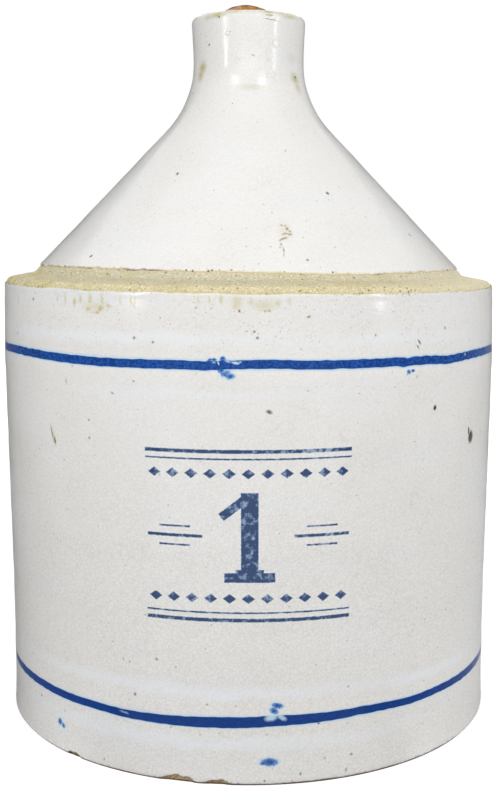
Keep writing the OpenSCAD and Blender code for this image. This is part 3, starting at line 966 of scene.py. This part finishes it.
def glaze(paint, dust_share=0.5, grey_share=1.0):
    """The white coat's colour, height and roughness before any marks.
    dust_share and grey_share say how much of its fine specks and of its grey mottle show."""
    warmth = paint.cloud(38, 2, 0.35, 0.7)
    paint.colour = paint.mix(paint.times(warmth, 0.5), WHITE, WARM_WHITE)
    elsewhere = paint.vector("ADD", paint.where, (0.3, 0.1, 0)).outputs[0]
    # Painted reflection: faint cool horizontal streaks that stand in for the surroundings reflected by the
    # coat
    streaks = paint.cloud(55, 2, 0.5, 0.72, where=elsewhere, stretch=(1, 1, 9))
    paint.lay(paint.times(streaks, 0.4), PAINTED_REFLECTION_COOL)
    mottle = paint.times(paint.cloud(0.9, 3, 0.38, 0.66, roughness=0.7), 0.6)
    paint.lay(paint.times(mottle, grey_share), MOTTLE)
    shaken = jitter(paint, 1.1, 0.8)
    net = paint.between(paint.cells(1.25, "DISTANCE_TO_EDGE", shaken), 0.02, 0.16, 0.34, 0.0)
    paint.lay(paint.times(net, grey_share), NET)
    bent = jitter(paint, 6, 3.0)
    lines = paint.between(paint.cells(2.9, "DISTANCE_TO_EDGE", bent), 0.008, 0.05, 1.0, 0.0)
    patches = paint.cloud(19, 2, 0.42, 0.66, 0.0, 0.15, where=bent)
    paint.lay(paint.times(lines, patches), CRAZE)
    near = paint.cells(2.7, "F1")
    luck = paint.cells(2.7, "F1", output="Color")
    specks = paint.times(paint.between(near, 0.05, 0.11, 1.0, 0.0), paint.between(luck, 0.45, 0.9))
    dust = paint.dots(1.3, 0.10, 0.20, 0.5 * dust_share, elsewhere)
    dust = paint.times(dust, paint.cloud(11, 2, 0.46, 0.68, where=elsewhere))
    paint.lay(paint.math("MAXIMUM", paint.times(specks, 0.75), dust), SPECK)
    height = paint.times(paint.noise(9, 1), 0.06)
    height = paint.plus(height, paint.times(paint.noise(1.8, 2), 0.022))
    height = paint.minus(height, paint.times(specks, 0.03))
    roughness = paint.cloud(14, 3, 0.3, 0.7, 0.14, 0.23)
    return height, roughness


def worn_edge(paint, tint, dark_share):
    """The thin tan line and the dark pits along the edge of a coat."""
    shaken = paint.plus(paint.attribute("from_edge"), paint.times(paint.noise(1.3, 2), 0.7))
    line = paint.between(shaken, 0.3, 0.9, 0.85, 0.0)
    leftward = paint.between(paint.parts()["X"], -0.03, 0.02, 0.0, 0.11)
    patches = paint.cloud(9, 2, paint.plus(leftward, 0.46), paint.plus(leftward, 0.58))
    paint.lay(line, paint.mix(paint.times(patches, dark_share), tint, BROWN))
    pits = paint.dots(1.5, 0.18, 0.32)
    pits = paint.times(pits, paint.between(shaken, 0.7, 1.3, 0.3 + 0.65 * dark_share, 0.0))
    pits = paint.times(pits, paint.cloud(13, 2, 0.42, 0.6, 0.1, 1.0))
    paint.lay(pits, BROWN)


# The stamp on the wall's front: a plain numeral between rules and rows of diamonds
STAMP_R = 90.5
STAMP_MIDDLE_H = 82
STAMP_HALF_W = 33
# Boxes round the stamp's middle: x, y, half width, half height, and the tilt of the numeral's flag
RULES = [(0, side * y, STAMP_HALF_W, thick) for side in (1, -1) for y, thick in ((27, 0.55), (24.6, 0.22))]
SIDE_RULES = [
    (side * 23.5, y, half_w, thick) for side in (-1, 1)
    for y, half_w, thick in ((0, 9, 0.45), (3, 5, 0.25), (-3, 5, 0.25))
]
NUMERAL = [(0.4, 0, 2.7, 14), (0.4, -13.2, 8, 1.5), (0.4, -11.2, 4.4, 0.6)]
NUMERAL_FLAG = (-4.6, 9.3, 5, 1.35, 38)
DIAMOND_STEP = 6
DIAMOND_HALF = (2, 1.5)
DIAMOND_ROWS_H = 20


def box_away(paint, s, h, x, y, half_w, half_h):
    """How far a point of the unrolled wall is outside a box, in millimetres."""
    across = paint.minus(paint.math("ABSOLUTE", paint.minus(s, x)), half_w)
    up = paint.minus(paint.math("ABSOLUTE", paint.minus(h, y)), half_h)
    return paint.math("MAXIMUM", across, up)


def stamp_mask(paint, where):
    parts = paint.parts(unrolled(paint, where))
    s = paint.times(parts["X"], math.radians(1) * STAMP_R)
    h = paint.minus(parts["Y"], STAMP_MIDDLE_H)
    nearest = 10.0
    for box in RULES + NUMERAL + SIDE_RULES:
        nearest = paint.math("MINIMUM", nearest, box_away(paint, s, h, *box))
    x, y, half_w, half_h, tilt = NUMERAL_FLAG
    cosine, sine = math.cos(math.radians(tilt)), math.sin(math.radians(tilt))
    dx, dy = paint.minus(s, x), paint.minus(h, y)
    turned_s = paint.plus(paint.times(dx, cosine), paint.times(dy, sine))
    turned_h = paint.minus(paint.times(dy, cosine), paint.times(dx, sine))
    nearest = paint.math("MINIMUM", nearest, box_away(paint, turned_s, turned_h, 0, 0, half_w, half_h))
    folded_s = paint.math("ABSOLUTE", paint.math("WRAP", s, DIAMOND_STEP / 2, -DIAMOND_STEP / 2))
    folded_h = paint.math("ABSOLUTE", paint.minus(paint.math("ABSOLUTE", h), DIAMOND_ROWS_H))
    folded_s = paint.math("DIVIDE", folded_s, DIAMOND_HALF[0])
    folded_h = paint.math("DIVIDE", folded_h, DIAMOND_HALF[1])
    diamond = paint.plus(folded_s, folded_h)
    diamond = paint.minus(diamond, 1.0)
    ends = paint.minus(paint.math("ABSOLUTE", s), STAMP_HALF_W)
    nearest = paint.math("MINIMUM", nearest, paint.math("MAXIMUM", diamond, ends))
    shape = paint.between(nearest, -0.15, 0.22, 1.0, 0.0)
    worn = paint.cloud(2.2, 3, 0.34, 0.56, 0.52, roughness=0.65)
    patchy = paint.cloud(15, 1, 0.35, 0.65, 0.8, 1.0)
    return paint.times(shape, paint.times(worn, patchy))


def wall_paint():
    paint = Paint("wall_glaze_paint")
    level = paint.level()
    height, roughness = glaze(paint, grey_share=paint.between(level, 50, 135, 1.0, 0.5))
    uneven = jitter(paint, 0.9, 0.7)
    paint.lay(paint.times(marks(paint, jitter(paint, 1.3, 1.9), KILN_STAINS, 0.7), 0.95), STAIN)
    # Painted reflection: faint cool streaks laid over the wall
    paint.lay(paint.times(marks(paint, jitter(paint, 9, 5), PAINTED_REFLECTIONS, 0.9), 0.75), PAINTED_REFLECTION_WHITE)
    grit = paint.dots(1.05, 0.13, 0.24, 0.5, uneven)
    grit = paint.times(grit, paint.cloud(6, 2, 0.42, 0.62))
    grit = paint.times(grit, paint.between(level, 134, 146, 0.35, 1.0))
    paint.lay(grit, OCHRE)
    from_band = paint.attribute("from_band")
    ragged = paint.plus(from_band, paint.times(paint.noise(0.9, 2), 0.4))
    paint.lay(paint.between(ragged, 0.35, 1.0, 0.85, 0.0), HALO)
    splash = marks(paint, uneven, COBALT_SPLASHES, 1.0)
    paint.lay(paint.between(splash, 0.12, 0.4, 0.0, 0.7), HALO)
    blue = paint.mix(paint.between(splash, 0.55, 0.85), PALE_COBALT, COBALT)
    blue = paint.mix(paint.cloud(0.8, 2, 0.4, 0.65, 0.0, 0.7), blue, DEEP_COBALT)
    paint.lay(paint.between(splash, 0.35, 0.55), blue)
    stamp = stamp_mask(paint, jitter(paint, 0.8, 0.35))
    ink = paint.mix(paint.between(stamp, 0.45, 0.82), PALE_INK, INK)
    paint.lay(paint.between(stamp, 0.0, 0.6, 0.0, 0.98), ink)
    paint.lay(marks(paint, uneven, IRON_SPOTS, 0.5), SPECK)
    paint.lay(marks(paint, uneven, DARK_SPOTS, 0.3), DARK)
    worn_edge(paint, paint.mix(paint.between(level, 6, 20), FOOT_LINE, STAIN), 0.25)
    return paint.finish(height, roughness)


def cone_paint():
    paint = Paint("cone_glaze_paint")
    height, roughness = glaze(paint, 0.2, 0.45)
    uneven = jitter(paint, 0.9, 0.7)
    paint.lay(marks(paint, jitter(paint, 1.4, 1.4), NECK_STAINS, 0.7), OLIVE)
    rim = paint.between(paint.level(), LIP_H - 2.0, LIP_H - 0.7)
    rim = paint.times(rim, paint.cloud(3.5, 3, 0.35, 0.65, 0.25, 0.9))
    paint.lay(rim, LIP_TAN)
    paint.lay(marks(paint, uneven, CONE_CRACK, 0.6), RUST)
    paint.lay(marks(paint, uneven, NECK_SPECKS, 0.5), BROWN)
    place = unrolled(paint, uneven)
    for degrees, level_h, radius in BUBBLE_RINGS:
        away = paint.minus(from_centre(paint, place, degrees, level_h, radius, radius), 1.0)
        rise = paint.between(paint.math("ABSOLUTE", away), 0.0, 0.5, 0.11, 0.0)
        height = paint.plus(height, rise)
    worn_edge(paint, LEDGE_TAN, 0.8)
    return paint.finish(height, roughness)


def plain_glaze_paint(name):
    paint = Paint(name)
    height, roughness = glaze(paint)
    return paint.finish(height, roughness)


def cobalt_paint():
    paint = Paint("cobalt_paint", roughness=0.14, specular=0.14)
    mottle = paint.cloud(1.0, 3, 0.36, 0.62, roughness=0.65)
    paint.colour = paint.mix(mottle, COBALT, DEEP_COBALT)
    streaks = paint.cloud(2.2, 2, 0.5, 0.75, stretch=(1, 1, 6))
    paint.lay(paint.times(streaks, 0.35), STREAK_BLUE)
    edge = paint.plus(paint.attribute("from_edge"), paint.times(paint.noise(0.7, 2), 0.35))
    paint.lay(paint.between(edge, 0.12, 0.42, 0.6, 0.0), EDGE_BLUE)
    paint.lay(paint.between(paint.level(), 30, 120, 0.75, 0.0), LOW_BLUE)
    paint.lay(marks(paint, jitter(paint, 0.8, 0.5), BAND_GAPS, 0.4), HALO)
    return paint.finish()


def clay_paint():
    """Bare clay: a gritty buff ledge, greyer in its middle and yellower on its rim, and a brown foot."""
    paint = Paint("clay_paint", roughness=0.9)
    parts = paint.parts()
    level = paint.math("DIVIDE", parts["Z"], MM)
    wander = paint.times(paint.minus(paint.noise(5, 2), 0.5), 1.6)
    rim = paint.between(paint.plus(level, wander), 159.4, 161.0, 1.0, 0.0)
    paint.colour = paint.mix(rim, BUFF, RIM_BUFF)
    leftward = paint.between(parts["X"], -0.075, -0.045, 1.0, 0.35)
    yellow = paint.cloud(9, 3, 0.42, 0.66, roughness=0.6)
    paint.lay(paint.times(yellow, leftward), YELLOW_BUFF)
    grain = paint.cloud(0.7, 3, 0.32, 0.68, roughness=0.8)
    paint.lay(paint.times(grain, 0.62), GRAIN_BUFF)
    pale = paint.dots(1.3, 0.14, 0.28)
    paint.lay(paint.times(pale, 0.8), PALE_BUFF)
    paint.lay(paint.between(parts["X"], 0.03, 0.085, 0.0, 0.5), RIGHT_BUFF)
    elsewhere = paint.vector("ADD", paint.where, (0.011, 0.017, 0.003)).outputs[0]
    pits = paint.dots(1.9, 0.12, 0.24, where=elsewhere)
    pits = paint.times(pits, paint.cloud(7, 1, 0.4, 0.6, 0.3, 0.9))
    paint.lay(pits, PIT_BROWN)
    orange = paint.dots(3.1, 0.07, 0.13, 0.7, elsewhere)
    paint.lay(paint.times(orange, rim), ORANGE)
    foot = paint.between(level, 4.0, 8.0, 1.0, 0.0)
    stone = paint.mix(grain, FOOT_CLAY, FOOT_GRAIN)
    # Reddish brown over the lowest millimetre of the foot, darkest at the bottom
    stone = paint.mix(paint.between(level, 0.5, 1.1, 0.85, 0.0), stone, FOOT_BOTTOM_BROWN)
    paint.lay(foot, stone)
    height = paint.times(paint.noise(0.8, 3, 0.7), 0.3)
    height = paint.minus(height, paint.times(pits, 0.15))
    return paint.finish(height)


def cork_paint():
    """Old cork: dark along its worn top edge, amber under it and reddish at the lip."""
    paint = Paint("cork_paint", roughness=0.75)
    parts = paint.parts()
    x = paint.minus(paint.math("DIVIDE", parts["X"], MM), CORK_DOME_X)
    dome = paint.times(paint.times(x, x), CORK_DOME)
    below = paint.minus(CORK_TOP_H, paint.math("DIVIDE", parts["Z"], MM))
    below = paint.minus(below, dome)
    below = paint.plus(below, paint.times(paint.noise(1.6, 2), 0.5))
    grain = paint.cloud(1.1, 4, 0.3, 0.7, roughness=0.7)
    paint.colour = paint.mix(grain, AMBER, AMBER_GRAIN)
    leftward = paint.between(x, -4.0, 0.0, 1.0, 0.1)
    reddish = paint.times(paint.between(below, 1.0, 1.5), leftward)
    reddish = paint.times(reddish, paint.between(below, 4.0, 6.0, 1.0, 0.0))
    paint.lay(reddish, REDDISH)
    # Black in a narrow band just under the top's edge
    paint.lay(paint.between(below, 0.75, 1.1, 0.97, 0.0), CORK_EDGE_BLACK)
    pores = paint.dots(2.4, 0.14, 0.24)
    paint.lay(paint.times(pores, 0.6), PORE_BROWN)
    height = paint.times(paint.noise(0.9, 3), 0.2)
    height = paint.minus(height, paint.times(pores, 0.25))
    return paint.finish(height)


def dress(piece, material, body, slot, *nodes):
    piece.data.materials.clear()
    piece.data.materials.append(material)
    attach(piece, body)
    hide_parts(*nodes)


def make_jug():
    wall, coat, band_places = make_wall_coat()
    dress(wall, wall_paint(), "jug", "white_glaze", "wall_glaze")
    cobalt = cobalt_paint()
    for (name, _), places in zip(BANDS.items(), band_places):
        dress(make_band("painted_" + name, coat, places), cobalt, "jug", "cobalt_band", name)
    dress(make_cone_coat(), cone_paint(), "jug", "white_glaze", "cone_glaze")
    clay = clay_paint()
    dress(make_crock_clay(), clay, "jug", "bare_clay", "crock_body")
    dress(make_cone_clay(), clay, "jug", "bare_clay", "cone_top")
    strap_clay, strap_coat = make_strap()
    dress(strap_clay, clay, "jug", "bare_clay", "strap_handle")
    dress(strap_coat, plain_glaze_paint("handle_glaze_paint"), "jug", "white_glaze", "handle_glaze")
    dress(make_cork(), cork_paint(), "cork", "cork", "cork_stopper")
    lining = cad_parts["lining_glaze"]
    lining.data.materials.clear()
    lining.data.materials.append(plain_glaze_paint("lining_glaze_paint"))


# Camera: the photograph's place and view
CAMERA_PLACE = (0, -0.4534, 0.1736)
CAMERA_PITCH = 0.129
CAMERA_LENS = 54.30
SENSOR_WIDTH = 36.0


def make_camera():
    data = bpy.data.cameras.new("camera")
    data.sensor_width = SENSOR_WIDTH
    data.lens = CAMERA_LENS
    camera = placed("camera", data)
    camera.location = CAMERA_PLACE
    camera.rotation_euler = (math.pi / 2 - CAMERA_PITCH, 0, 0)
    bpy.context.scene.camera = camera


# Lamps: name, degrees round from the front, height over the floor, distance, width, height, radiance,
# and whether shiny surfaces show it
LAMPS = [
    ("left_strip", -45.5, 0.26, 0.45, 0.035, 0.20, 18.0, True),
    ("right_strip", 55, 0.29, 0.46, 0.035, 0.28, 10.0, True),
    ("left_key", -28, 0.95, 1.00, 0.32, 0.25, 5.7, True),
    ("right_key", 32, 0.95, 1.00, 0.32, 0.25, 5.8, True),
    ("front_box", 8, 0.62, 1.15, 1.30, 0.50, 1.3, True),
    ("back", 180, 0.75, 1.40, 0.90, 0.50, 3.5, True),
    ("back_fill", 180, 0.30, 1.20, 1.00, 0.40, 5.0, False),
]
AIM = Vector((0, 0, 0.19))
AMBIENT = 0.55

# Grey cards curved round each side of the jug, on the floor and standing, which darken what its
# sides reflect: name, side, reflectance
CARDS = [("left_card", -1, 0.30), ("right_card", 1, 0.60)]
CARD_PALE = 0.7
CARD_DARK = 0.08
CARD_NEAR_R = 0.05
CARD_FAR_R = 0.50
CARD_TOP = 0.48
CARD_FROM = 36
CARD_FULL = 92
CARD_DARKEN_FROM = 118
CARD_DARKEN_TO = 165
CARD_TO = 176


def make_card(name, side, reflectance):
    profile = [(CARD_NEAR_R, 0.001), (CARD_FAR_R, 0.001), (CARD_FAR_R, CARD_TOP)]
    turns = [math.radians(side * angle) for angle in range(CARD_FROM, CARD_TO + 1, 5)]
    corners = [(r * math.sin(turn), -r * math.cos(turn), z) for turn in turns for r, z in profile]
    faces = []
    for start in range(0, len(corners) - 3, 3):
        for at in (start, start + 1):
            faces.append((at, at + 1, at + 4, at + 3))
    mesh = bpy.data.meshes.new(name)
    mesh.from_pydata(corners, [], faces)
    card = placed(name, mesh)
    card.visible_camera = False
    card.visible_shadow = False
    paint = Paint(name, roughness=1.0, specular=0.0)
    parts = paint.parts()
    backward = paint.times(parts["Y"], -1.0)
    turn = paint.math("DEGREES", paint.math("ARCTAN2", paint.math("ABSOLUTE", parts["X"]), backward))
    grey = paint.between(turn, CARD_FROM, CARD_FULL, CARD_PALE, reflectance)
    grey = paint.math("MINIMUM", grey, paint.between(turn, CARD_DARKEN_FROM, CARD_DARKEN_TO, 1.0, CARD_DARK))
    paint.colour = grey
    mesh.materials.append(paint.finish())


def make_lamp(name, degrees, height, distance, wide, tall, radiance, mirrored):
    data = bpy.data.lights.new(name, "AREA")
    data.shape = "RECTANGLE"
    data.size, data.size_y = wide, tall
    data.energy = radiance * wide * tall * math.pi
    lamp = placed(name, data)
    angle = math.radians(degrees)
    lamp.location = (distance * math.sin(angle), -distance * math.cos(angle), height)
    lamp.rotation_euler = (AIM - lamp.location).to_track_quat("-Z", "Y").to_euler()
    lamp.visible_camera = False
    lamp.visible_glossy = mirrored


def seen_rays(tree):
    """1 for camera, glossy and transmission rays, which see the white surroundings."""
    path = tree.nodes.new("ShaderNodeLightPath")
    total = path.outputs["Is Camera Ray"]
    for kind in ("Is Glossy Ray", "Is Transmission Ray"):
        both = tree.nodes.new("ShaderNodeMath")
        both.operation = "MAXIMUM"
        tree.links.new(total, both.inputs[0])
        tree.links.new(path.outputs[kind], both.inputs[1])
        total = both.outputs[0]
    return total


def make_world():
    world = bpy.data.worlds.new("studio")
    bpy.context.scene.world = world
    world.use_nodes = True
    tree = world.node_tree
    background = tree.nodes["Background"]
    background.inputs["Color"].default_value = (1, 1, 1, 1)
    level = tree.nodes.new("ShaderNodeMapRange")
    level.inputs["To Min"].default_value = AMBIENT
    level.inputs["To Max"].default_value = 1.0
    tree.links.new(seen_rays(tree), level.inputs["Value"])
    tree.links.new(level.outputs[0], background.inputs["Strength"])


# Floor: half its side and its height in metres, its reflectance, and its glow for the rays that see it white
FLOOR_HALF = 6.0
FLOOR_Z = -0.0002
FLOOR_ALBEDO = 0.36
FLOOR_GLOW = 0.94


def make_floor():
    mesh = bpy.data.meshes.new("floor")
    ends = (-FLOOR_HALF, FLOOR_HALF)
    mesh.from_pydata([(x, y, FLOOR_Z) for y in ends for x in ends], [], [(0, 1, 3, 2)])
    paint = Paint("floor_white", roughness=1.0, specular=0.0)
    paint.colour = (FLOOR_ALBEDO, FLOOR_ALBEDO, FLOOR_ALBEDO, 1)
    paint.shader.inputs["Emission Color"].default_value = (1, 1, 1, 1)
    glow = paint.times(seen_rays(paint.tree), FLOOR_GLOW)
    paint.feed(paint.shader.inputs["Emission Strength"], glow)
    mesh.materials.append(paint.finish())
    floor = placed("floor", mesh)


make_camera()
make_world()
make_floor()
for lamp in LAMPS:
    make_lamp(*lamp)
for card in CARDS:
    make_card(*card)
make_jug()
bpy.context.scene.view_settings.view_transform = "Standard"


bpy.context.view_layer.update()
